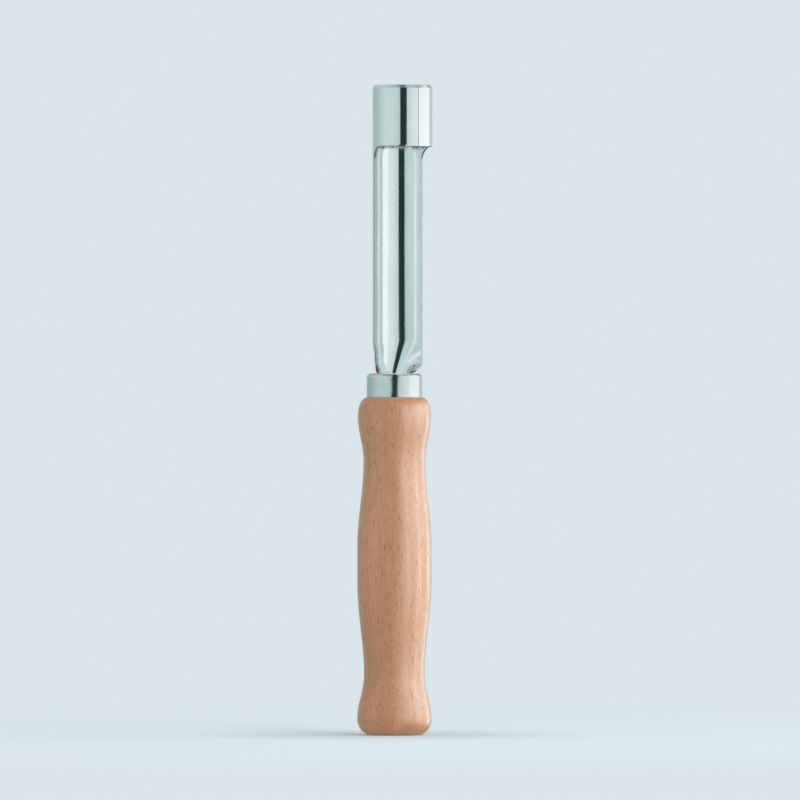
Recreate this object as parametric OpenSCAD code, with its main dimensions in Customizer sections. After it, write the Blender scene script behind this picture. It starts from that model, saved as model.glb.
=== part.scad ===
// Apple corer: a blade rolled from one steel sheet, a drawn ferrule and a turned wooden handle.
// Lengths are in millimetres. The corer stands on the butt of its handle, whose axis is the Z axis,
// and the open side of the blade is at the front, towards -Y.

/* [Blade] */
// Outside diameter of the cutting ring and of the gutter below it
ring_d = 19.4; // [17:0.1:23]
// Thickness of the steel sheet
sheet_t = 0.8; // [0.5:0.05:1.1]
// Height of the closed ring
ring_h = 19.9; // [12:0.1:30]
// Length of the straight gutter between the ring and the neck
gutter_len = 63.1; // [30:0.1:90]
// Length over which the back of the gutter bends over to the tang
neck_len = 9.8; // [7:0.1:16]
// Height of the rounded shoulder at the left rim
left_shoulder_h = 3.9; // [2:0.1:5]
// Height of the rounded shoulder at the right rim
right_shoulder_h = 2.9; // [2:0.1:5]
// Depth of the gutter's rims behind the blade's axis
rim_depth = 2.4; // [0:0.1:4]
// Turn of the whole blade about its axis, which takes the seam to the right of the front
seam_turn = 32; // [0:1:45]
// Gap left at the butt seam of the ring
seam_gap = 0.2; // [0.1:0.05:0.5]
// Height of the bevel ground round the cutting edge
bevel_h = 1; // [0.5:0.1:2]
// Thickness left at the cutting edge
edge_t = 0.25; // [0.15:0.05:0.4]
// Fillet where the ring's lower edge turns into the rims of the gutter
window_r = 4; // [2:0.1:5]
// Distance of the blade's axis to the right of the handle's axis
blade_right = 2.6; // [0:0.1:4]
// Distance of the blade's axis in front of the handle's axis
blade_front = 3.3; // [0:0.1:5]

/* [Tang] */
// Outside diameter of the circle that the tang is curved to
tang_d = 12; // [9:0.1:13]
// Turn that the tang covers to either side of the middle of its back
tang_turn = 67; // [50:1:85]
// Depth of the tang below the top of the ferrule
tang_len = 42; // [25:0.5:60]
// Length of the tapered end of the tang
tip_len = 8; // [4:0.5:12]
// Width of the blunt tip
tip_w = 6; // [3:0.5:8]
// Height of the neck's lower end above the ferrule
neck_gap = 0.3; // [0.1:0.1:1]

/* [Ferrule] */
// Outside diameter of the ferrule
ferrule_d = 18; // [16:0.1:19]
// Height of the ferrule
ferrule_h = 7.8; // [5:0.1:14]
// Wall of the ferrule
ferrule_t = 0.6; // [0.4:0.05:1]
// Rounding of the ferrule's upper edge
ferrule_round = 1.2; // [1.05:0.05:2]

/* [Handle] */
// Length of the handle from its butt to the ferrule
handle_len = 109.1; // [100:0.1:130]
// Diameter of the bulge under the ferrule
bulge_d = 23.7; // [21:0.1:27]
// Distance of the widest part of the bulge below the ferrule
bulge_drop = 6; // [4:0.1:8]
// Diameter of the finger waist
waist_d = 20; // [18:0.1:21]
// Height of the middle of the finger waist
waist_z = 88.5; // [80:0.5:90]
// Diameter of the belly that fills the palm
belly_d = 24; // [21:0.1:28]
// Height of the middle of the belly
belly_z = 55; // [50:0.5:60]
// Length of the straight part of the belly
belly_len = 12; // [2:0.5:20]
// Diameter of the lower waist
heel_d = 19.7; // [18:0.1:21]
// Height of the middle of the lower waist
heel_z = 19.5; // [16:0.5:24]
// Diameter of the flare at the butt
flare_d = 24.1; // [21:0.1:28]
// Height of the widest part of the flare, where the butt's rounding starts
flare_z = 5.2; // [3:0.1:7]
// Diameter of the flat butt
butt_d = 15.2; // [12:0.1:18]

/* [Fits] */
// Clearance all round the tang in the wood
tang_fit = 0.1; // [0.05:0.05:0.3]
// Clearance between the tang and the hole in the ferrule
hole_fit = 0.15; // [0.05:0.05:0.5]
// Clearance between the ferrule and the wooden spigot inside it
spigot_fit = 0.05; // [0.02:0.01:0.2]

/* [Hidden] */
$fn = 96;

blade_r = ring_d / 2;
tang_r = tang_d / 2;
ferrule_r = ferrule_d / 2;
spigot_r = ferrule_r - ferrule_t - spigot_fit;
spigot_round = ferrule_round - ferrule_t;

ferrule_top = handle_len + ferrule_h;
spigot_top = ferrule_top - ferrule_t - spigot_fit;
neck_z = ferrule_top + neck_gap;
gutter_z = neck_z + neck_len;
ring_z = gutter_z + gutter_len;
blade_top = ring_z + ring_h;

blade_axis = [blade_right, -blade_front];
mid_r = blade_r - sheet_t / 2;
tang_mid_r = tang_r - sheet_t / 2;
// Turn of the gutter's rims to either side of the middle of its back
rim_turn = acos(rim_depth / mid_r);

// Depth that the neck runs into the sheet above and below, and how much its faces draw in there
lap = 0.5;
draw_in = 0.06;
rim_in = 0.17;
// Turn from straight back at which the neck's right wing runs on straight to its rim
wing_turn = 24;
// Form of the shoulders: 1 is a straight cut, and 2 an ellipse
shoulder_power = 1.5;
neck_steps = 18;
neck_sides = 44;
// Height of one step of the handle's outline
turn_step = 1.3;
over = 1;

// Angles are taken from the front, -Y, towards the right, +X.
function toward(a) = [sin(a), -cos(a)];
function mix(a, b, t) = a + (b - a) * t;
function limit01(t) = min(max(t, 0), 1);
function ease(t) = let (s = limit01(t)) s * s * (3 - 2 * s);
function radians(a) = a * PI / 180;
function swell(a, b, t) = mix(a, b, (1 - cos(180 * t)) / 2);

// Rolled tube with its cutting bevel, before the window is cut
module rolled_tube() {
    rotate_extrude()
        polygon([
            [blade_r - sheet_t, gutter_z],
            [blade_r, gutter_z],
            [blade_r, blade_top - bevel_h],
            [blade_r - sheet_t + edge_t, blade_top],
            [blade_r - sheet_t, blade_top]
        ]);
}

// All that is cut from the tube in front of the gutter's rims, with the fillets under the ring
module window() {
    low = gutter_z - over;
    front = -blade_r - over;
    rotate([0, 0, seam_turn])
        rotate([90, 0, 90])
            linear_extrude(ring_d + 2 * over, center = true) {
                translate([front, low]) square([rim_depth - front, ring_z - window_r - low]);
                translate([front, low]) square([rim_depth - window_r - front, ring_z - low]);
                translate([rim_depth - window_r, ring_z - window_r]) circle(window_r);
            }
}

module seam() {
    rotate([0, 0, seam_turn])
        translate([-seam_gap / 2, -blade_r - over, ring_z - over])
            cube([seam_gap, blade_r + over, ring_h + 2 * over]);
}

// Share of the neck's length that lies above a height
function neck_share(z) = limit01((gutter_z - z) / neck_len);

// Share of a shoulder's width that is left, from 1 where the shoulder starts to 0 at the tang
function shoulder_left(t, height) =
    let (start = 1 - height / neck_len)
    pow(1 - pow(limit01((t - start) / (1 - start)), shoulder_power), 1 / shoulder_power);

// Turns from straight back, to the right and the left, at which the sheet leaves the circle of its
// back and runs on straight
function wings(t) =
    let (right = 1 - right_shoulder_h / neck_len, left = 1 - left_shoulder_h / neck_len)
    [
        mix(mix(rim_turn - seam_turn, wing_turn, ease(t / right)), tang_turn,
            ease((t - right) / (1 - right))),
        mix(rim_turn + seam_turn, 90, ease(t / left))
    ];

// Point of the sheet's middle at a height. Its reach runs along the sheet, to the right of the line
// that faces straight back.
function sheet_middle(reach, z) =
    let (
        t = neck_share(z),
        radius = mix(mid_r, tang_mid_r, t),
        wing = wings(t),
        whole = reach / radius,
        turn = min(max(whole, -radians(wing[1])), radians(wing[0])),
        a = turn * 180 / PI,
        p = blade_axis * (1 - t) + radius * toward(180 - a)
            + (whole - turn) * radius * [cos(a), -sin(a)]
    )
    [p.x, p.y, z];

// Outward normal of the sheet, which is level at both ends of the neck
function sheet_normal(reach, z) =
    let (
        t = neck_share(z),
        higher = sheet_middle(reach, z + (t < 1 ? 0.02 : 0)),
        lower = sheet_middle(reach, z - (t > 0 ? 0.02 : 0)),
        along = sheet_middle(reach + 0.02, z) - sheet_middle(reach - 0.02, z),
        across = cross(higher - lower, along)
    )
    across / norm(across);

// Reaches of the right and the left rim. Each keeps its place down to its shoulder.
function rim_reaches(t) =
    let (
        radius = mix(mid_r, tang_mid_r, t),
        axis = blade_axis * (1 - t),
        wing = wings(t),
        rim_x = mix(tang_mid_r * sin(tang_turn), blade_right + mid_r * sin(rim_turn - seam_turn),
                    shoulder_left(t, right_shoulder_h)),
        rim_y = mix(tang_mid_r * cos(tang_turn), mid_r * cos(rim_turn + seam_turn) - blade_front,
                    shoulder_left(t, left_shoulder_h)),
        right_straight = rim_x - axis.x - radius * sin(wing[0]),
        left_straight = axis.y + radius * cos(wing[1]) - rim_y
    )
    [
        right_straight > 0
            ? radius * radians(wing[0]) + right_straight / cos(wing[0])
            : radius * radians(asin((rim_x - axis.x) / radius)),
        left_straight > 0
            ? -radius * radians(wing[1]) - left_straight / sin(wing[1])
            : -radius * radians(acos((rim_y - axis.y) / radius))
    ];

function reversed(points) = [for (i = [len(points) - 1:-1:0]) points[i]];

// Ring of points round the neck's wall at a height, along its outside and back along its inside
function neck_ring(z) =
    let (
        t = neck_share(z),
        half_t = sheet_t / 2 - draw_in * (1 - sin(180 * t)),
        rims = rim_reaches(t),
        reaches = [for (i = [0:neck_sides]) mix(rims[0] - rim_in, rims[1] + rim_in, i / neck_sides)],
        middle = [for (r = reaches) sheet_middle(r, z)],
        offsets = [for (r = reaches) half_t * sheet_normal(r, z)]
    )
    concat(middle + offsets, reversed(middle - offsets));

// Neck: the back of the sheet bends over and tightens to the tang's circle, its free rims keep their
// place, and the shoulders take the sheet in to the width of the tang
module neck() {
    heights = concat(
        [gutter_z + lap],
        [for (i = [0:neck_steps]) mix(gutter_z, neck_z, sin(90 * i / neck_steps))],
        [neck_z - lap]
    );
    count = 2 * (neck_sides + 1);
    last = len(heights) - 1;
    polyhedron(
        points = [for (z = heights) each neck_ring(z)],
        faces = concat(
            [for (i = [0:neck_sides - 1]) [i + 1, i, count - 1 - i, count - 2 - i]],
            [for (k = [0:last - 1], i = [0:count - 1])
                let (a = k * count, b = a + count, j = (i + 1) % count)
                each [[a + i, b + j, b + i], [a + i, a + j, b + j]]],
            [for (i = [0:neck_sides - 1])
                let (a = last * count) [a + i, a + i + 1, a + count - 2 - i, a + count - 1 - i]]
        )
    );
}

// Tang, curved to its own circle with a tapered end, or the slot for it when a gap is given
module tang(gap = 0) {
    bottom = ferrule_top - tang_len - gap;
    top = neck_z + (gap > 0 ? over : 0);
    turn = tang_turn + (gap / tang_mid_r) * 180 / PI;
    half_w = tang_r * sin(tang_turn) + gap;
    half_tip = min(tip_w / 2 + gap, 0.9 * half_w);
    widening = (half_w - half_tip) / tip_len;
    half_low = half_tip - over * widening;
    half_high = half_w + (top + over - bottom - tip_len) * widening;
    intersection() {
        rotate([0, 0, 90 - turn])
            rotate_extrude(angle = 2 * turn)
                translate([tang_r - sheet_t - gap, bottom])
                    square([sheet_t + 2 * gap, top - bottom]);
        rotate([90, 0, 0])
            linear_extrude(2 * tang_d, center = true)
                polygon([
                    [-half_low, bottom - over],
                    [half_low, bottom - over],
                    [half_high, top + over],
                    [-half_high, top + over]
                ]);
    }
}

module blade() {
    color("silver") {
        translate(concat(blade_axis, [0]))
            difference() {
                rolled_tube();
                window();
                seam();
            }
        neck();
        tang();
    }
}

// Section of a cap with a rounded upper edge, from the axis outwards
module cap_section(r, bottom, top, round_r) {
    translate([0, bottom]) square([r, top - bottom - round_r]);
    translate([0, bottom]) square([r - round_r, top - bottom]);
    translate([r - round_r, top - round_r]) circle(round_r);
}

module ferrule() {
    color("gainsboro")
        difference() {
            rotate_extrude()
                intersection() {
                    difference() {
                        cap_section(ferrule_r, handle_len, ferrule_top, ferrule_round);
                        cap_section(
                            ferrule_r - ferrule_t, handle_len - over, ferrule_top - ferrule_t, spigot_round
                        );
                    }
                    square([2 * ferrule_r, 2 * ferrule_top]);
                }
            translate([0, 0, ferrule_top - ferrule_t - over])
                cylinder(r = tang_r + hole_fit, h = ferrule_t + 2 * over);
        }
}

// Outline of the turned handle from its butt to the shoulder that the ferrule stands on
function handle_outline() =
    let (
        bulge_z = handle_len - bulge_drop,
        belly_low = belly_z - belly_len / 2,
        belly_high = belly_z + belly_len / 2,
        stretches = [
            [flare_z, heel_z, flare_d, heel_d],
            [heel_z, belly_low, heel_d, belly_d],
            [belly_high, waist_z, belly_d, waist_d],
            [waist_z, bulge_z, waist_d, bulge_d]
        ],
        butt_steps = 10,
        shoulder_steps = 10
    )
    concat(
        [for (i = [0:butt_steps]) let (a = 90 * i / butt_steps)
            [mix(butt_d, flare_d, sin(a)) / 2, flare_z * (1 - cos(a))]],
        [for (s = stretches)
            let (steps = ceil((s[1] - s[0]) / turn_step), first = s[0] == belly_high ? 0 : 1)
            for (i = [first:steps])
                [swell(s[2], s[3], i / steps) / 2, mix(s[0], s[1], i / steps)]],
        [for (i = [1:shoulder_steps]) let (a = 90 * i / shoulder_steps)
            [mix(ferrule_d, bulge_d, cos(a)) / 2, bulge_z + bulge_drop * sin(a)]]
    );

module handle() {
    color("burlywood")
        difference() {
            union() {
                rotate_extrude()
                    polygon(concat([[0, 0]], handle_outline(), [[0, handle_len]]));
                rotate_extrude()
                    intersection() {
                        cap_section(spigot_r, handle_len - over, spigot_top, spigot_round);
                        square([2 * ferrule_r, 2 * ferrule_top]);
                    }
            }
            tang(tang_fit);
        }
}

blade();
ferrule();
handle();
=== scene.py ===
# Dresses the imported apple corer: a rolled and polished steel blade, a drawn ferrule and a turned
# beech handle. Sizes of the pieces are in millimetres until a mesh is made, in the frame of the
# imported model: +Z runs up the handle to the cutting ring, and the gutter is open towards -Y.
import math

import bmesh
import bpy
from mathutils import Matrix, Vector


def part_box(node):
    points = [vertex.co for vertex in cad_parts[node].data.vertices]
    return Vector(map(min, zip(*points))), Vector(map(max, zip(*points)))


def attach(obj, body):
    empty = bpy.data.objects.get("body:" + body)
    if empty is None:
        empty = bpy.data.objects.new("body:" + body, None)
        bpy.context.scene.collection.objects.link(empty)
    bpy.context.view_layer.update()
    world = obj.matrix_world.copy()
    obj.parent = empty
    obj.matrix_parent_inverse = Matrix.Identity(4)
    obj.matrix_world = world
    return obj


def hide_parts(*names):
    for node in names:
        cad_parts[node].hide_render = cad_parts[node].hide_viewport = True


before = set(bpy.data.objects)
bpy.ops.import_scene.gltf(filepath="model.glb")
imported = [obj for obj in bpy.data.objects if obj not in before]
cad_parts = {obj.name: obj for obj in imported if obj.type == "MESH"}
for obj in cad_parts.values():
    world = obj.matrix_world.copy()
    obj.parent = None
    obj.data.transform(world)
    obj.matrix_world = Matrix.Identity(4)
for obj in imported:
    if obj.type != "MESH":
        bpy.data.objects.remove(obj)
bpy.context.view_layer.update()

MM = 0.001

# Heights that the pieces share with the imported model
SPIGOT_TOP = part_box("handle")[1].z / MM
HANDLE_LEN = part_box("ferrule")[0].z / MM
FERRULE_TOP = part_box("ferrule")[1].z / MM
TANG_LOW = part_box("blade")[0].z / MM
BLADE_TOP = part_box("blade")[1].z / MM

# Blade. The seam and the open side of the gutter are turned from the front to the right by
# SEAM_TURN, and the rims of the gutter stand RIM_DEPTH behind the blade's axis.
BLADE_R = 9.7
SHEET = 0.8
BLADE_AXIS = Vector((2.6, -3.3))
RING_H = 19.9
SEAM_TURN = math.radians(32)
SEAM_GAP = 0.08
BEVEL_H = 1.0
EDGE_T = 0.25
RIM_DEPTH = 2.4
WINDOW_R = 4.0
RING_Z = BLADE_TOP - RING_H
BEVEL_Z = BLADE_TOP - BEVEL_H

# Neck. Its two wings leave the circle of its back at these turns, and their shoulders start at
# these shares of its length.
NECK_LEN = 9.8
NECK_GAP = 0.3
NECK_Z = FERRULE_TOP + NECK_GAP
GUTTER_Z = NECK_Z + NECK_LEN
RIGHT_WING = math.radians(24)
LEFT_WING = math.radians(90)
RIGHT_SHOULDER = 0.7
LEFT_SHOULDER = 0.6
SHOULDER_POWER = 1.5

# Tang, with half widths, and TANG_FIT as its clearance in the slot
TANG_R = 6.0
TANG_HALF = 5.15
TIP_LEN = 8.0
TIP_HALF = 2.85
TANG_FIT = 0.1

# Ferrule
FERRULE_R = 9.0
FERRULE_T = 0.6
FERRULE_ROUND = 1.2
FERRULE_LIP = 0.12
HOLE_R = 6.15

# Handle, whose widths are given as (height, radius)
SPIGOT_R = 8.35
BUTT_R = 7.6
FLARE = (5.2, 12.05)
HEEL = (19.5, 9.85)
BELLY_LOW = (49.0, 12.0)
BELLY_HIGH = (61.0, 12.0)
WAIST = (88.5, 10.0)
BULGE = (103.1, 11.85)

# Edges that bend by more degrees than this are sharp
BLADE_SHARP = 25
LATHE_SHARP = 40
SLOT_SHARP = 30


# ---- Small maths ----

def mix(a, b, t):
    return a + (b - a) * t


def limit01(t):
    return min(max(t, 0.0), 1.0)


def ease(t):
    s = limit01(t)
    return s * s * (3 - 2 * s)


def soft_ramp(t, width):
    """0 below 0 and t above it, with the corner rounded over width on either side."""
    if t < -width:
        return 0.0
    if t < width:
        return (t + width) ** 2 / (4 * width)
    return t


def spread(low, high, count):
    """Values from low to high in a count of equal steps."""
    return [mix(low, high, i / count) for i in range(count + 1)]


def toward(angle):
    """Direction at an angle from the front, -Y, towards the right, +X."""
    return Vector((math.sin(angle), -math.cos(angle)))


def arc_cos(value):
    return math.acos(min(max(value, -1.0), 1.0))


def arc_sin(value):
    return math.asin(min(max(value, -1.0), 1.0))


# ---- Making pieces ----

def add_object(name, data):
    made = bpy.data.objects.new(name, data)
    bpy.context.scene.collection.objects.link(made)
    return made


def piece_from(name, points, faces, sharp_angle, cut_points=None):
    """Mesh with smooth faces and sharp corners. Points of cut edges carry how matt the cut is and
    how much painted shade darkens it.
    """
    mesh = bpy.data.meshes.new(name)
    mesh.from_pydata([Vector(p) * MM for p in points], [], faces)
    shape = bmesh.new()
    shape.from_mesh(mesh)
    bmesh.ops.recalc_face_normals(shape, faces=shape.faces)
    for face in shape.faces:
        face.smooth = True
    for edge in shape.edges:
        if len(edge.link_faces) == 2 and edge.calc_face_angle() > math.radians(sharp_angle):
            edge.smooth = False
    shape.to_mesh(mesh)
    shape.free()
    if cut_points:
        mark = mesh.attributes.new("cut", "FLOAT", "POINT")
        for point, amount in cut_points.items():
            mark.data[point].value = amount
    return add_object(name, mesh)


def dress(piece, node, material):
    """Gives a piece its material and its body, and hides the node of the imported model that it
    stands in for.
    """
    piece.data.materials.clear()
    piece.data.materials.append(material)
    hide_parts(node)
    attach(piece, "root")


def arc(centre, radius, start, end, steps):
    """Points of an arc in a lathe section, with angles in degrees from the outward direction."""
    turns = [math.radians(a) for a in spread(start, end, steps)]
    return [(centre[0] + radius * math.cos(a), centre[1] + radius * math.sin(a)) for a in turns]


def lathe(name, outline, segments, sharp_angle, closed):
    """Turned solid from an outline of (radius, height). An open outline ends on the axis."""
    points = []
    rings = []
    for radius, height in outline:
        count = segments if radius > 0 else 1
        rings.append([len(points) + i for i in range(count)])
        for i in range(count):
            spot = radius * toward(2 * math.pi * i / segments)
            points.append((spot.x, spot.y, height))
    faces = []
    pairs = list(zip(rings, rings[1:]))
    if closed:
        pairs.append((rings[-1], rings[0]))
    for low, high in pairs:
        for i in range(segments):
            j = (i + 1) % segments
            corners = [low[i % len(low)], low[j % len(low)]]
            corners += [high[j % len(high)], high[i % len(high)]]
            faces.append(list(dict.fromkeys(corners)))
    return piece_from(name, points, faces, sharp_angle)


# ---- Blade: one sheet, as columns that stand round its wall ----

# Rounding of the cut edges, of the keen edge, and of the seam as a share of the first
CUT_ROUND = 0.13
KEEN_ROUND = 0.04
SEAM_ROUND_SHARE = 0.45

# How matt the cuts are, and how much painted shade darkens them: below the ring and under the
# tang, and along the rims and the seam
LOW_CUT = 1.0
RIM_CUT = 0.4

CORNER_STEPS = 3
ARC_COLUMNS = 112
FILLET_COLUMNS = 12
FRONT_COLUMNS = 46
NECK_SOFT = 0.05
NORMAL_STEP = 0.02
FILLET_Z = RING_Z - WINDOW_R
FILLET_DEPTH = RIM_DEPTH - WINDOW_R
TIP_TOP = TANG_LOW + TIP_LEN

# Reaches run along the middle of the sheet, to the right of the line that faces straight back
MID_R = BLADE_R - SHEET / 2
TANG_MID_R = TANG_R - SHEET / 2
RIM_TURN = math.acos(RIM_DEPTH / MID_R)
FILLET_TURN = math.acos(FILLET_DEPTH / MID_R)
TANG_TURN = math.asin(TANG_HALF / TANG_MID_R)

# Heights of the rows below the ring, close together where the sheet bends, and shares of the
# heights above them
NECK_ROWS = [GUTTER_Z - NECK_LEN * mix(LEFT_SHOULDER, 1, math.sin(math.radians(a)))
             for a in spread(90, 0, 26)]
LOWER_ROWS = (
    spread(TANG_LOW, TIP_TOP, 8)
    + spread(TIP_TOP + 2, NECK_Z - 1.2, 6)
    + [NECK_Z - 0.5, NECK_Z - 0.2]
    + NECK_ROWS
    + spread(NECK_ROWS[-1] + 0.25, GUTTER_Z + 0.7, 30)
    + spread(GUTTER_Z + 2, FILLET_Z - 3, 12)
)
FIRST_RING_ROW = len(LOWER_ROWS)
RING_SHARES = [0, 0.03, 0.12, 0.3, 0.5, 0.7, 0.88, 1]
BEVEL_SHARES = [0.08, 0.35, 0.7, 1]
LAST_ROW = FIRST_RING_ROW + len(RING_SHARES) + len(BEVEL_SHARES) - 1


def blade_columns():
    """Columns from the seam's right edge round the back to its left edge: (kind, side, share)."""
    right = [("front", 1, share) for share in spread(1, 0, FRONT_COLUMNS)[:-1]]
    right += [("fillet", 1, share) for share in spread(1, 0, FILLET_COLUMNS)[:-1]]
    back = [("back", 1, share) for share in spread(1, -1, ARC_COLUMNS)]
    left = [(kind, -1, share) for kind, _, share in reversed(right)]
    return right + back + left


def neck_share(z):
    """How far down the neck a height is: 0 above the neck and 1 below it."""
    x = (GUTTER_Z - z) / NECK_LEN
    return limit01(soft_ramp(x, NECK_SOFT) - soft_ramp(x - 1, NECK_SOFT))


def neck_circle(z):
    """Axis and radius of the circle that the back of the sheet follows."""
    t = neck_share(z)
    return BLADE_AXIS * (1 - t), mix(MID_R, TANG_MID_R, t)


def shoulder_left(t, start):
    """Share of the shoulder's width that is left at a share of the neck's length."""
    turn = limit01((t - start) / (1 - start))
    return (1 - turn ** SHOULDER_POWER) ** (1 / SHOULDER_POWER)


def wing_turns(z):
    """Turns from straight back, to the right and the left, at which the wings leave the circle."""
    t = neck_share(z)
    right = mix(RIM_TURN - SEAM_TURN, RIGHT_WING, ease(t / RIGHT_SHOULDER))
    left = mix(RIM_TURN + SEAM_TURN, LEFT_WING, ease(t / LEFT_SHOULDER))
    in_right = ease((t - RIGHT_SHOULDER) / (1 - RIGHT_SHOULDER))
    return mix(right, TANG_TURN, in_right), left


def sheet_middle(reach, z):
    """Point of the sheet's middle: round the circle, and straight on where a wing leaves it."""
    centre, radius = neck_circle(z)
    turn = reach / radius
    straight = 0.0
    if neck_share(z) > 0:
        right, left = wing_turns(z)
        bound = min(max(turn, -left), right)
        straight = (turn - bound) * radius
        turn = bound
    spot = centre + radius * toward(math.pi - turn)
    spot += straight * Vector((math.cos(turn), -math.sin(turn)))
    return Vector((spot.x, spot.y, z))


def sheet_normal(reach, z):
    """Direction straight out of the sheet."""
    along = sheet_middle(reach + NORMAL_STEP, z) - sheet_middle(reach - NORMAL_STEP, z)
    up = sheet_middle(reach, z + NORMAL_STEP) - sheet_middle(reach, z - NORMAL_STEP)
    return up.cross(along).normalized()


def rim_reaches(z):
    """Reaches of the left and the right rim: down the gutter, over the shoulders, to the tip."""
    if z < NECK_Z:
        width = mix(TIP_HALF, TANG_HALF, limit01((z - TANG_LOW) / TIP_LEN))
        reach = TANG_MID_R * math.asin(width / TANG_MID_R)
        return -reach, reach
    centre, radius = neck_circle(z)
    t = neck_share(z)
    if t == 0:
        return -radius * (RIM_TURN + SEAM_TURN), radius * (RIM_TURN - SEAM_TURN)
    right, left = wing_turns(z)
    rim_x = BLADE_AXIS.x + MID_R * math.sin(RIM_TURN - SEAM_TURN)
    rim_x = mix(TANG_HALF, rim_x, shoulder_left(t, RIGHT_SHOULDER))
    beyond = rim_x - centre.x - radius * math.sin(right)
    if beyond > 0:
        right_reach = radius * right + beyond / math.cos(right)
    else:
        right_reach = radius * arc_sin((rim_x - centre.x) / radius)
    rim_y = BLADE_AXIS.y + MID_R * math.cos(RIM_TURN + SEAM_TURN)
    rim_y = mix(TANG_MID_R * math.cos(TANG_TURN), rim_y, shoulder_left(t, LEFT_SHOULDER))
    beyond = centre.y + radius * math.cos(left) - rim_y
    if beyond > 0:
        left_reach = radius * left + beyond / math.sin(left)
    else:
        left_reach = radius * arc_cos((rim_y - centre.y) / radius)
    return -left_reach, right_reach


def sheet_height(column, row, low_inset, top_inset):
    """Height of a row in a column, with the ends of the sheet moved in by their insets."""
    kind, _, share = column
    if row == 0:
        return TANG_LOW + low_inset
    if row < FIRST_RING_ROW:
        return LOWER_ROWS[row]
    inset = low_inset if row == FIRST_RING_ROW else CUT_ROUND
    low = FILLET_Z
    if kind == "fillet":
        low = FILLET_Z + (WINDOW_R + inset) * math.sin(share * math.pi / 2)
    elif kind == "front":
        low = RING_Z + inset
    step = row - FIRST_RING_ROW
    if step < len(RING_SHARES):
        return mix(low, BEVEL_Z, RING_SHARES[step])
    return mix(BEVEL_Z, BLADE_TOP - top_inset, BEVEL_SHARES[step - len(RING_SHARES)])


def sheet_reach(column, z, low_inset, side_inset):
    """Reach of a column at a height, with the sides of the sheet moved in by their inset."""
    kind, side, share = column
    if kind == "back":
        left, right = rim_reaches(z)
        return mix(left, right, (1 + share) / 2) - share * side_inset
    seam = math.pi * MID_R - SEAM_GAP / 2 - side_inset * SEAM_ROUND_SHARE
    turned = -SEAM_TURN * MID_R
    if kind == "fillet":
        depth = FILLET_DEPTH + (WINDOW_R + low_inset) * math.cos(share * math.pi / 2)
        return turned + side * MID_R * math.acos(depth / MID_R)
    return turned + side * mix(MID_R * FILLET_TURN, seam, share)


def sheet_wall(z):
    """Thickness of the sheet, which the bevel takes from its outside."""
    return mix(SHEET, EDGE_T, limit01((z - BEVEL_Z) / BEVEL_H))


def sheet_point(column, row, across, inset, on_side, on_low):
    """Point of the sheet: across runs from 0 on the outer wall to the wall's thickness."""
    low_inset = inset if on_low else CUT_ROUND
    side_inset = inset if on_side else CUT_ROUND
    z = sheet_height(column, row, low_inset, inset)
    reach = sheet_reach(column, z, low_inset, side_inset)
    out = sheet_wall(z) - SHEET / 2 - across
    return sheet_middle(reach, z) + out * sheet_normal(reach, z)


def cut_path(wall, rounding):
    """Steps across a cut edge with rounded corners: (distance in from the outer wall, inset)."""
    quarter = [math.radians(a) for a in spread(0, 90, CORNER_STEPS)]
    near = [(rounding * (1 - math.cos(a)), rounding * (1 - math.sin(a))) for a in quarter]
    return near + [(wall - across, inset) for across, inset in reversed(near)]


class RolledSheet:
    """The blade's mesh as it grows. Each place has one path of points across the sheet."""

    def __init__(self):
        self.columns = blade_columns()
        self.points = []
        self.faces = []
        self.paths = {}
        self.cut_points = {}

    def first_row(self, c):
        return 0 if self.columns[c][0] == "back" else FIRST_RING_ROW

    def on_rim(self, c):
        kind, _, share = self.columns[c]
        return kind == "back" and abs(share) == 1

    def path_at(self, c, row):
        if (c, row) not in self.paths:
            self.paths[c, row] = self.make_path(c, row)
        return self.paths[c, row]

    def make_path(self, c, row):
        """Points across the sheet at a place: the two walls, or the whole cut edge."""
        column = self.columns[c]
        at_seam = c in (0, len(self.columns) - 1)
        on_side = at_seam or (self.on_rim(c) and row <= FIRST_RING_ROW)
        on_low = row == self.first_row(c)
        on_top = row == LAST_ROW
        bevel_share = limit01((row - LAST_ROW + len(BEVEL_SHARES)) / len(BEVEL_SHARES))
        rounding = mix(CUT_ROUND, KEEN_ROUND, bevel_share)
        wall = sheet_wall(sheet_height(column, row, CUT_ROUND, rounding))
        steps = cut_path(wall, rounding)
        if not (on_side or on_low or on_top):
            steps = [steps[0], steps[-1]]
        made = []
        for across, inset in steps:
            made.append(len(self.points))
            self.points.append(sheet_point(column, row, across, inset, on_side, on_low))
        if on_low:
            self.cut_points.update(dict.fromkeys(made[1:-1], LOW_CUT))
        elif not on_top:
            self.cut_points.update(dict.fromkeys(made[2:-2], RIM_CUT))
        return made

    def add_walls(self, c, row):
        """One face on either wall of the sheet."""
        corners = [(c, row), (c + 1, row), (c + 1, row + 1), (c, row + 1)]
        self.faces.append([self.path_at(*corner)[0] for corner in corners])
        self.faces.append([self.path_at(*corner)[-1] for corner in reversed(corners)])

    def add_cut(self, first, second):
        """Faces of the cut edge from one place to the next."""
        a = self.path_at(*first)
        b = self.path_at(*second)
        for k in range(len(a) - 1):
            self.faces.append((a[k], b[k], b[k + 1], a[k + 1]))


def make_blade():
    sheet = RolledSheet()
    last = len(sheet.columns) - 1
    for c in range(last):
        low = max(sheet.first_row(c), sheet.first_row(c + 1))
        for row in range(low, LAST_ROW):
            sheet.add_walls(c, row)
        sheet.add_cut((c, low), (c + 1, low))
        sheet.add_cut((c, LAST_ROW), (c + 1, LAST_ROW))
    rims = [c for c in range(last) if sheet.on_rim(c)]
    for rim in rims:
        for row in range(FIRST_RING_ROW):
            sheet.add_cut((rim, row), (rim, row + 1))
    for seam in (0, last):
        for row in range(FIRST_RING_ROW, LAST_ROW):
            sheet.add_cut((seam, row), (seam, row + 1))
    return piece_from("corer_blade", sheet.points, sheet.faces, BLADE_SHARP, sheet.cut_points)


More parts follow.
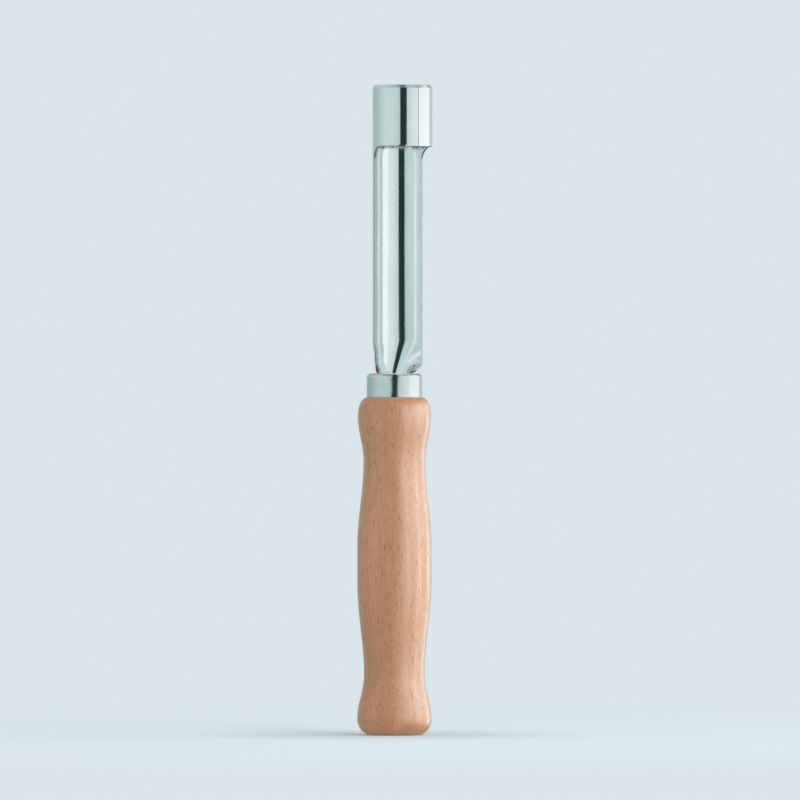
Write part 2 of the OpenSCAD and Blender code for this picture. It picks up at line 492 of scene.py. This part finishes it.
# ---- Ferrule: a drawn cap with a hole for the tang ----

def make_ferrule():
    """Section from the lower edge up the outside, over the top, through the hole and back down."""
    low = HANDLE_LEN + FERRULE_LIP
    ceiling = FERRULE_TOP - FERRULE_T
    hole_lip = HOLE_R + FERRULE_LIP
    inner_r = FERRULE_R - FERRULE_T
    outer = (FERRULE_R - FERRULE_ROUND, FERRULE_TOP - FERRULE_ROUND)
    inner_round = FERRULE_ROUND - FERRULE_T
    inner = (inner_r - inner_round, ceiling - inner_round)
    wall_rows = spread(HANDLE_LEN + 0.6, outer[1] - 0.4, 6)
    outline = arc((FERRULE_R - FERRULE_LIP, low), FERRULE_LIP, -90, 0, 3)
    outline += [(FERRULE_R, z) for z in wall_rows]
    outline += arc(outer, FERRULE_ROUND, 0, 90, 14)
    outline += arc((hole_lip, FERRULE_TOP - FERRULE_LIP), FERRULE_LIP, 90, 180, 4)
    outline += arc((hole_lip, ceiling + FERRULE_LIP), FERRULE_LIP, 180, 270, 3)
    outline += arc(inner, inner_round, 90, 0, 8)
    outline += arc((inner_r + FERRULE_LIP, low), FERRULE_LIP, 180, 270, 3)
    return lathe("corer_ferrule", outline, segments=224, sharp_angle=LATHE_SHARP, closed=True)


# ---- Handle: turned beech with a spigot under the ferrule and a slot for the tang ----

def swelling(low, high, steps):
    """Outline between two widths, with a level tangent at both."""
    shares = spread(0, 1, steps)[1:]
    return [(mix(low[1], high[1], (1 - math.cos(math.pi * t)) / 2), mix(low[0], high[0], t))
            for t in shares]


def handle_outline():
    """Outline from the middle of the butt up the outside to the middle of the spigot's top."""
    quarter = [math.radians(a) for a in spread(0, 90, 18)]
    butt = [(mix(BUTT_R, FLARE[1], math.sin(a)), FLARE[0] * (1 - math.cos(a))) for a in quarter]
    rise = HANDLE_LEN - BULGE[0]
    shoulder = [(mix(FERRULE_R, BULGE[1], math.cos(a)), BULGE[0] + rise * math.sin(a))
                for a in quarter[1:]]
    spigot_round = FERRULE_ROUND - FERRULE_T
    spigot_end = (SPIGOT_R - spigot_round, SPIGOT_TOP - spigot_round)
    spigot = [(SPIGOT_R, HANDLE_LEN), (SPIGOT_R, HANDLE_LEN + 3)]
    spigot += arc(spigot_end, spigot_round, 0, 90, 5)
    widths = [FLARE, HEEL, BELLY_LOW, BELLY_HIGH, WAIST, BULGE]
    outline = [(0, 0), (BUTT_R * 0.55, 0)] + butt
    for low, high, steps in zip(widths, widths[1:], (24, 34, 10, 34, 26)):
        outline += swelling(low, high, steps)
    return outline + shoulder + spigot + [(0, SPIGOT_TOP)]


def slot_cutter():
    """Curved shell that stands off the tang by its clearance, and rises through the spigot."""
    outer = TANG_R + TANG_FIT
    inner = TANG_R - SHEET - TANG_FIT
    turn = TANG_TURN + TANG_FIT / TANG_MID_R
    low = TANG_LOW - TANG_FIT
    half_low = TIP_HALF + CUT_ROUND + TANG_FIT
    widening = (TANG_R * math.sin(TANG_TURN) + TANG_FIT - half_low) / TIP_LEN
    tapered = [(radius * math.sin(turn) - half_low) / widening for radius in (inner, outer)]
    heights = [low, low + 0.5 * tapered[0], low + tapered[0], low + tapered[1], SPIGOT_TOP + 1]
    # An odd count keeps the corners of the cutter off the lines between the lathe's segments
    steps = 47
    points = []
    for z in heights:
        for radius, order in ((outer, 1), (inner, -1)):
            half = min(turn, arc_sin((half_low + (z - low) * widening) / radius))
            for share in spread(-order, order, steps):
                spot = radius * toward(math.pi + share * half)
                points.append((spot.x, spot.y, z))
    count = 2 * (steps + 1)
    faces = [list(range(count)), list(range(len(points) - count, len(points)))]
    for k in range(len(heights) - 1):
        for i in range(count):
            j = (i + 1) % count
            faces.append([k * count + i, k * count + j, (k + 1) * count + j, (k + 1) * count + i])
    return piece_from("slot_cutter", points, faces, SLOT_SHARP)


def make_handle():
    outline = handle_outline()
    handle = lathe("corer_handle", outline, segments=256, sharp_angle=LATHE_SHARP, closed=False)
    cutter = slot_cutter()
    slot = handle.modifiers.new("tang_slot", "BOOLEAN")
    slot.operation = "DIFFERENCE"
    slot.solver = "EXACT"
    slot.object = cutter
    depsgraph = bpy.context.evaluated_depsgraph_get()
    cut = bpy.data.meshes.new_from_object(handle.evaluated_get(depsgraph))
    handle.modifiers.clear()
    handle.data = cut
    bpy.data.objects.remove(cutter)
    return handle


# ---- Materials ----

class Graph:
    """Short calls for building a node tree."""

    def __init__(self, tree):
        self.tree = tree
        tree.nodes.clear()

    def node(self, kind, inputs=None, **settings):
        made = self.tree.nodes.new(kind)
        for key, value in settings.items():
            setattr(made, key, value)
        for key, value in (inputs or {}).items():
            self.feed(made.inputs[key], value)
        return made

    def feed(self, socket, value):
        if isinstance(value, bpy.types.NodeSocket):
            self.tree.links.new(value, socket)
        else:
            socket.default_value = value

    def math(self, operation, *values):
        return self.node("ShaderNodeMath", dict(enumerate(values)), operation=operation).outputs[0]

    def plus(self, first, second):
        return self.math("ADD", first, second)

    def times(self, first, *others):
        for other in others:
            first = self.math("MULTIPLY", first, other)
        return first

    def remap(self, value, low, high, to_low=0.0, to_high=1.0):
        """Soft step from one value to another. It falls where low is the greater of the two."""
        inputs = {0: value, 1: low, 2: high, 3: to_low, 4: to_high}
        return self.node("ShaderNodeMapRange", inputs, interpolation_type="SMOOTHSTEP").outputs[0]

    def place(self):
        return self.node("ShaderNodeTexCoord").outputs["Object"]

    def axes(self, vector):
        return self.node("ShaderNodeSeparateXYZ", {0: vector}).outputs

    def scaled(self, vector, scale, turn=(0, 0, 0)):
        inputs = {"Vector": vector, "Scale": scale, "Rotation": turn}
        return self.node("ShaderNodeMapping", inputs).outputs[0]

    def noise(self, vector, scale, detail, roughness, turn=(0, 0, 0)):
        """Noise that is drawn out along the axes on which its scale is small."""
        inputs = {"Vector": self.scaled(vector, scale, turn), "Scale": 1.0, "Detail": detail,
                  "Roughness": roughness}
        return self.node("ShaderNodeTexNoise", inputs).outputs["Fac"]

    def between(self, factor, first, second):
        return self.node("ShaderNodeMix", {0: factor, 2: first, 3: second}).outputs[0]

    def blend(self, factor, first, second):
        inputs = {0: factor, 6: first, 7: second}
        return self.node("ShaderNodeMix", inputs, data_type="RGBA").outputs[2]

    def bump(self, height, depth, strength, normal=None):
        inputs = {"Height": height, "Distance": depth, "Strength": strength}
        if normal is not None:
            inputs["Normal"] = normal
        return self.node("ShaderNodeBump", inputs).outputs[0]

    def glow(self, tone, level):
        return self.node("ShaderNodeEmission", {"Color": tone, "Strength": level}).outputs[0]

    def fade(self, factor, first, second):
        return self.node("ShaderNodeMixShader", {0: factor, 1: first, 2: second}).outputs[0]

    def show(self, surface):
        self.node("ShaderNodeOutputMaterial", {"Surface": surface})


def blank_material(name):
    material = bpy.data.materials.new(name)
    material.use_nodes = True
    return material, Graph(material.node_tree)


def new_material(name):
    """Material of a piece, with its shader and the place on the piece in millimetres."""
    material, graph = blank_material(name)
    shader = graph.node("ShaderNodeBsdfPrincipled")
    graph.show(shader.outputs[0])
    return material, graph, shader, graph.scaled(graph.place(), (1 / MM,) * 3)


def rgb(red, green, blue):
    return (red, green, blue, 1.0)


def blade_steel():
    """Polished sheet: fine lengthwise lines, a bevel that is ground across and matt cut edges,
    darkened with painted shade.
    """
    dull_steel = rgb(0.60, 0.63, 0.64)
    bright_steel = rgb(0.66, 0.69, 0.695)
    bright_line = rgb(0.70, 0.72, 0.725)
    ground_steel = rgb(0.72, 0.735, 0.74)
    # Dull steel of the cut edges, darkened far below steel's own tone as painted shade
    dull_cut_and_painted_shade = rgb(0.22, 0.24, 0.245)
    cut_roughness = 0.42
    bevel_soft = 0.06
    line_depth = 0.000004
    wave_depth = 0.00012
    ground_depth = 0.00001
    material, graph, shader, mm = new_material("blade_steel")
    cut = graph.node("ShaderNodeAttribute", attribute_name="cut").outputs["Fac"]
    ground = graph.remap(graph.axes(mm)["Z"], BEVEL_Z - bevel_soft, BEVEL_Z + bevel_soft)
    # Lines along the sheet and round the bevel, broad clouds, slanting scratches and slow waves
    along = graph.noise(mm, (6.0, 6.0, 0.05), 4.0, 0.65)
    around = graph.noise(mm, (0.25, 0.25, 14.0), 4.0, 0.7)
    cloud = graph.noise(mm, (0.12, 0.12, 0.05), 3.0, 0.55)
    slant = graph.noise(mm, (3.0, 3.0, 0.35), 2.0, 0.5, turn=(0.5, 0.3, 0))
    wave = graph.noise(mm, (0.1, 0.1, 0.045), 1.0, 0.4)

    tone = graph.blend(graph.remap(cloud, 0.3, 0.7), dull_steel, bright_steel)
    tone = graph.blend(graph.remap(along, 0.35, 0.7, to_high=0.35), tone, bright_line)
    tone = graph.blend(graph.times(ground, 0.8), tone, ground_steel)
    # Painted shade on the cut edges, darkest below the ring and under the tang
    tone = graph.blend(cut, tone, dull_cut_and_painted_shade)
    graph.feed(shader.inputs["Base Color"], tone)

    scratch = graph.remap(slant, 0.66, 0.72, to_high=0.08)
    polished = graph.plus(graph.remap(along, 0.3, 0.75, 0.07, 0.13), scratch)
    rough = graph.between(ground, polished, graph.remap(around, 0.3, 0.7, 0.2, 0.34))
    rough = graph.between(graph.remap(cut, 0.0, RIM_CUT), rough, cut_roughness)
    graph.feed(shader.inputs["Roughness"], rough)

    normal = graph.bump(along, line_depth, 0.5)
    normal = graph.bump(wave, wave_depth, 0.35, normal)
    normal = graph.bump(graph.times(around, ground), ground_depth, 0.6, normal)
    graph.feed(shader.inputs["Normal"], normal)
    shader.inputs["Metallic"].default_value = 1.0
    return material


def ferrule_steel():
    """Drawn cap, polished in the lathe: fine lines that run round it."""
    dull_steel = rgb(0.55, 0.59, 0.60)
    bright_steel = rgb(0.62, 0.655, 0.66)
    bright_line = rgb(0.68, 0.70, 0.705)
    line_depth = 0.000005
    dent_depth = 0.00006
    material, graph, shader, mm = new_material("ferrule_steel")
    # Lines round the cap, broad clouds, small specks and shallow dents
    around = graph.noise(mm, (0.12, 0.12, 9.0), 4.0, 0.65)
    cloud = graph.noise(mm, (0.2, 0.2, 0.2), 3.0, 0.55)
    speck = graph.noise(mm, (2.2, 2.2, 3.0), 2.0, 0.5)
    dent = graph.noise(mm, (0.25, 0.25, 0.3), 1.0, 0.4)

    tone = graph.blend(graph.remap(cloud, 0.3, 0.7), dull_steel, bright_steel)
    tone = graph.blend(graph.remap(around, 0.4, 0.7, to_high=0.4), tone, bright_line)
    graph.feed(shader.inputs["Base Color"], tone)

    rough = graph.plus(graph.remap(around, 0.3, 0.7, 0.11, 0.18),
                       graph.remap(speck, 0.67, 0.74, to_high=0.12))
    graph.feed(shader.inputs["Roughness"], rough)

    normal = graph.bump(around, line_depth, 0.5)
    normal = graph.bump(dent, dent_depth, 0.3, normal)
    graph.feed(shader.inputs["Normal"], normal)
    shader.inputs["Metallic"].default_value = 1.0
    return material


def late_wood_share(graph, mm):
    """Share of dark late wood, in growth rings round a pith that lies behind the handle."""
    pith_x = 9.0
    pith_y = 47.0
    ring_width = 2.3
    drift = 9.0
    wander = graph.noise(mm, (0.03, 0.03, 0.012), 2.0, 0.5)
    place = graph.axes(mm)
    across = graph.math("SUBTRACT", place["X"], pith_x)
    depth = graph.math("SUBTRACT", place["Y"], pith_y)
    squares = graph.plus(graph.math("POWER", across, 2.0), graph.math("POWER", depth, 2.0))
    radius = graph.plus(graph.math("SQRT", squares), graph.times(wander, drift))
    ring = graph.math("FRACT", graph.math("DIVIDE", radius, ring_width))
    return graph.times(graph.remap(ring, 0.45, 0.93), graph.remap(ring, 1.0, 0.94))


def ray_share(graph, mm):
    """Share of the rays: short upright flecks, wider at the sides than in front and behind."""
    fleck_size = (0.7, 1.2, 5.2)
    wander = graph.noise(mm, (0.4, 0.4, 0.2), 2.0, 0.5)
    cell = graph.scaled(mm, [1 / size for size in fleck_size])
    shifted = graph.node("ShaderNodeVectorMath", {0: cell, 1: wander}, operation="ADD")
    cells = graph.node("ShaderNodeTexVoronoi",
                       {"Vector": shifted.outputs[0], "Scale": 1.0, "Randomness": 1.0}).outputs
    chance = graph.node("ShaderNodeSeparateColor", {0: cells["Color"]}).outputs
    return graph.times(
        graph.remap(cells["Distance"], 0.30, 0.14),
        graph.remap(chance[0], 0.35, 0.55),
        graph.remap(chance[1], 0.0, 1.0, 0.35, 1.0),
    )


def beech():
    """Steamed beech under a satin varnish: growth rings, grain, fine vessels and dark rays."""
    ruddy_wood = rgb(0.58, 0.240, 0.108)
    pale_wood = rgb(0.66, 0.305, 0.150)
    late_wood = rgb(0.51, 0.197, 0.084)
    dark_streak = rgb(0.45, 0.174, 0.074)
    pale_streak = rgb(0.74, 0.385, 0.208)
    vessel_brown = rgb(0.36, 0.135, 0.058)
    hair_brown = rgb(0.31, 0.115, 0.05)
    ray_brown = rgb(0.23, 0.082, 0.038)
    grain_depth = 0.00004
    material, graph, shader, mm = new_material("beech")
    late = late_wood_share(graph, mm)
    # Grain at four widths, drawn out along the handle
    broad = graph.noise(mm, (0.16, 0.16, 0.012), 3.0, 0.55)
    streak = graph.noise(mm, (1.1, 1.1, 0.045), 4.0, 0.6)
    vessel = graph.noise(mm, (4.6, 4.6, 0.3), 2.0, 0.55)
    hair = graph.noise(mm, (3.4, 3.4, 0.07), 2.0, 0.5)
    ray = ray_share(graph, mm)

    tone = graph.blend(graph.remap(broad, 0.3, 0.7), ruddy_wood, pale_wood)
    tone = graph.blend(graph.times(late, 0.20), tone, late_wood)
    tone = graph.blend(graph.remap(streak, 0.52, 0.75, to_high=0.45), tone, dark_streak)
    tone = graph.blend(graph.remap(streak, 0.46, 0.26, to_high=0.4), tone, pale_streak)
    tone = graph.blend(graph.remap(vessel, 0.52, 0.70, to_high=0.6), tone, vessel_brown)
    tone = graph.blend(graph.remap(hair, 0.60, 0.70, to_high=0.5), tone, hair_brown)
    tone = graph.blend(graph.times(ray, 0.85), tone, ray_brown)
    graph.feed(shader.inputs["Base Color"], tone)
    graph.feed(shader.inputs["Roughness"], graph.remap(streak, 0.3, 0.7, 0.36, 0.46))

    sunk = graph.plus(graph.times(ray, 0.35), graph.remap(vessel, 0.58, 0.74, to_high=0.5))
    grain = graph.math("SUBTRACT", graph.times(streak, 0.5), sunk)
    graph.feed(shader.inputs["Normal"], graph.bump(grain, grain_depth, 0.5))
    shader.inputs["IOR"].default_value = 1.5
    shader.inputs["Coat Weight"].default_value = 0.6
    shader.inputs["Coat Roughness"].default_value = 0.42
    return material


# ---- Stage: floor, backdrop colour, soft panels and lamps, with sizes in metres ----

# PALE is what the camera sees and FILL is what lights matt surfaces. Glossy surfaces mirror PALE,
# with HIGH in a belt above and below the horizon and OVERHEAD at the top, and AGAIN in its place
# where the backdrop is mirrored twice.
PALE = (0.70, 0.785, 0.82)
FILL = (0.54, 0.575, 0.59)
HIGH = (0.36, 0.40, 0.42)
OVERHEAD = (0.03, 0.06, 0.065)
AGAIN = (1.3, 1.42, 1.45)

FLOOR_RADIUS = 60
FLOOR_TONE = (0.86, 0.935, 0.965)
# Glow that the camera sees on the floor away from the corer; near the foot it fades out and paints
# a shadow there
FLOOR_GLOW_BEYOND_PAINTED_SHADOW = (0.10, 0.108, 0.108)
PANEL_RADIUS = 1.62
SOFTBOX_LIFT = 0.3
CARD_LIFT = 0.5
SHEEN_TONE = (0.72, 0.93, 1.0)
LAMP_AIM = Vector((0, 0, 0.08))


def show_to(graph, rays):
    """1 for the named kinds of ray and 0 for the others."""
    path = graph.node("ShaderNodeLightPath")
    total = path.outputs[rays[0]]
    for name in rays[1:]:
        total = graph.math("MAXIMUM", total, path.outputs[name])
    return total


def mirrored_twice(graph):
    """1 for rays that two glossy surfaces have turned, and 0 for the others."""
    bounces = graph.node("ShaderNodeLightPath").outputs["Glossy Depth"]
    return graph.math("GREATER_THAN", bounces, 1.5)


def make_world():
    world = bpy.data.worlds.new("studio")
    world.use_nodes = True
    bpy.context.scene.world = world
    graph = Graph(world.node_tree)
    direction = graph.axes(graph.node("ShaderNodeTexCoord").outputs["Generated"])
    rise = graph.math("ABSOLUTE", direction["Z"])
    belt = graph.times(
        graph.remap(rise, 0.2, 0.4),
        graph.remap(rise, 0.84, 0.7),
        graph.remap(direction["X"], -0.75, -0.35),
    )
    overhead = graph.times(
        graph.remap(direction["Z"], 0.80, 0.93),
        graph.remap(direction["X"], 0.20, 0.08),
        graph.remap(direction["X"], -0.6, 0.0, 0.35, 1.0),
    )
    mirrored = graph.blend(belt, rgb(*PALE), rgb(*HIGH))
    mirrored = graph.blend(overhead, mirrored, rgb(*OVERHEAD))
    mirrored = graph.blend(mirrored_twice(graph), mirrored, rgb(*AGAIN))
    tone = graph.blend(show_to(graph, ["Is Glossy Ray"]), rgb(*FILL), mirrored)
    seen = show_to(graph, ["Is Camera Ray", "Is Transmission Ray"])
    tone = graph.blend(seen, tone, rgb(*PALE))
    light = graph.node("ShaderNodeBackground", {"Color": tone, "Strength": 1.0})
    graph.node("ShaderNodeOutputWorld", {"Surface": light.outputs[0]})


def make_floor():
    """Matt floor that keeps the corer's shadow, adds a painted shadow round its foot and passes
    into the backdrop's tone far from it.
    """
    mesh = bpy.data.meshes.new("floor")
    shape = bmesh.new()
    bmesh.ops.create_circle(shape, cap_ends=True, segments=96, radius=FLOOR_RADIUS)
    shape.to_mesh(mesh)
    shape.free()
    floor = add_object("floor", mesh)
    material, graph = blank_material("floor_pale")
    length = graph.node("ShaderNodeVectorMath", {0: graph.place()}, operation="LENGTH")
    reach = length.outputs["Value"]
    seen = show_to(graph, ["Is Camera Ray", "Is Transmission Ray"])
    # The glow fades in from 12 to 80 mm from the middle of the foot, so the floor round the foot
    # is darker: a painted shadow
    lift = graph.times(graph.remap(reach, 0.012, 0.080), seen)
    far = graph.times(graph.remap(reach, 0.08, 0.42), seen)
    matt = graph.node("ShaderNodeBsdfDiffuse", {"Color": rgb(*FLOOR_TONE)}).outputs[0]
    near = graph.node("ShaderNodeAddShader", {0: matt, 1: graph.glow(rgb(*FLOOR_GLOW_BEYOND_PAINTED_SHADOW), lift)})
    plain = graph.glow(rgb(*PALE), 1.0)
    graph.show(graph.fade(far, near.outputs[0], plain))
    mesh.materials.append(material)
    floor.visible_glossy = False


def make_panel(name, start, end, low, high, steps, nearer=0.0):
    """Part of an upright cylinder round the object, between two angles from the front.

    Returns it with its graph, and with the angle and the height of the place that is shaded.
    """
    points = []
    for angle in spread(math.radians(start), math.radians(end), steps):
        spot = (PANEL_RADIUS - nearer) * toward(angle)
        points += [(spot.x, spot.y, low), (spot.x, spot.y, high)]
    faces = [(2 * i, 2 * i + 2, 2 * i + 3, 2 * i + 1) for i in range(steps)]
    mesh = bpy.data.meshes.new(name)
    mesh.from_pydata(points, [], faces)
    panel = add_object(name, mesh)
    material, graph = blank_material(name)
    mesh.materials.append(material)
    place = graph.axes(graph.place())
    angle = graph.math("ARCTAN2", place["X"], graph.times(place["Y"], -1.0))
    panel.visible_camera = False
    return panel, graph, graph.math("DEGREES", angle), place["Z"]


def light_panel(graph, shown, tone, level):
    """Panel that glows where it is shown and is clear elsewhere."""
    clear = graph.node("ShaderNodeBsdfTransparent").outputs[0]
    graph.show(graph.fade(shown, clear, graph.glow(tone, level)))


def lifted(graph, level, lift):
    """Level that is raised by a share of itself for rays mirrored twice."""
    return graph.math("MULTIPLY_ADD", graph.times(level, mirrored_twice(graph)), lift, level)


def leave_to_mirrors(panel):
    """Keeps a panel from lighting or shading matt surfaces."""
    panel.visible_diffuse = False
    panel.visible_shadow = False


def make_softbox():
    """White panel at the viewer's right, brighter towards the side."""
    low = -0.9
    high = 1.7
    end = 138
    _, graph, angle, height = make_panel("softbox", 10, end, low, high, steps=48)
    shown = graph.times(
        graph.remap(angle, 12, 17),
        graph.remap(angle, end, 116),
        graph.remap(height, high, 1.3),
        graph.remap(height, low, -0.6),
    )
    level = graph.plus(graph.remap(angle, 14, 50, 0.92, 1.14),
                       graph.remap(angle, 54, 72, to_high=0.24))
    tone = graph.blend(graph.remap(angle, 50, 68), rgb(0.89, 1.0, 0.97), rgb(0.965, 1.0, 0.99))
    light_panel(graph, shown, tone, lifted(graph, level, SOFTBOX_LIFT))


def make_card():
    """Grey panel at the viewer's left for the metal, darker towards the back and low down."""
    low = -0.7
    high = 0.8
    start = -172
    card, graph, angle, height = make_panel("card", start, -6, low, high, steps=48)
    shown = graph.times(
        graph.remap(angle, start, -158),
        graph.remap(height, high, 0.45),
        graph.remap(height, low, -0.4),
    )
    level = graph.times(
        graph.remap(angle, -128, -62, 0.70, 1.0),
        graph.remap(angle, -10, -34, 0.9, 1.0),
        graph.remap(height, 0.112, 0.150, 0.82, 1.0),
    )
    light_panel(graph, shown, rgb(0.80, 0.97, 0.95), lifted(graph, level, CARD_LIFT))
    leave_to_mirrors(card)


def make_flag():
    """Dark panel on the viewer's side, which metal shows as a narrow band where it mirrors it."""
    flag, graph, angle, height = make_panel("flag", -20, 24, -0.9, 3.6, steps=14, nearer=0.02)
    # Low down the band stands a few degrees further left
    angle = graph.plus(angle, graph.remap(height, 0.118, 0.150, 4.5, 0.0))
    shown = graph.times(
        graph.remap(angle, -10.5, -7.5),
        graph.remap(angle, 18.5, 15.5),
        graph.math("SUBTRACT", 1.0, mirrored_twice(graph)),
    )
    light_panel(graph, shown, rgb(0.018, 0.045, 0.048), 1.0)
    leave_to_mirrors(flag)


def make_lamp(name, place, width, height, energy):
    data = bpy.data.lights.new(name, "AREA")
    data.shape = "RECTANGLE"
    data.size = width
    data.size_y = height
    data.energy = energy
    lamp = add_object(name, data)
    lamp.location = place
    lamp.rotation_euler = (LAMP_AIM - lamp.location).to_track_quat("-Z", "Y").to_euler()
    return lamp


def make_lamps(handle):
    """Soft key lamp from the front right, and two lamps that only give the wood its sheen."""
    key = make_lamp("key", (0.75, -1.35, 0.55), width=0.8, height=0.8, energy=7.0)
    key.visible_glossy = False
    satin = bpy.data.collections.new("satin")
    satin.objects.link(handle)
    rim = make_lamp("rim", (1.6, -0.12, 0.12), width=3.8, height=1.6, energy=180.0)
    strip = make_lamp("strip", (1.13, -1.13, 0.12), width=0.8, height=1.6, energy=24.0)
    for lamp in (rim, strip):
        lamp.visible_diffuse = False
        lamp.data.color = SHEEN_TONE
        lamp.light_linking.receiver_collection = satin


# ---- Camera ----

def make_camera():
    """Level long lens in front of the open side, as wide as view_width at the handle's axis."""
    view_width = 0.2587
    view_x = 0.0018
    view_z = 0.1083
    distance = 4.0
    data = bpy.data.cameras.new("camera")
    data.lens = data.sensor_width * distance / view_width
    data.clip_end = 100
    camera = add_object("camera", data)
    camera.location = (view_x, -distance, view_z)
    camera.rotation_euler = (math.pi / 2, 0, 0)
    bpy.context.scene.camera = camera


# ---- The scene ----

make_camera()
make_world()
make_floor()
make_softbox()
make_card()
make_flag()
dress(make_blade(), "blade", blade_steel())
dress(make_ferrule(), "ferrule", ferrule_steel())
handle_piece = make_handle()
dress(handle_piece, "handle", beech())
make_lamps(handle_piece)

bpy.context.scene.view_settings.view_transform = "Standard"
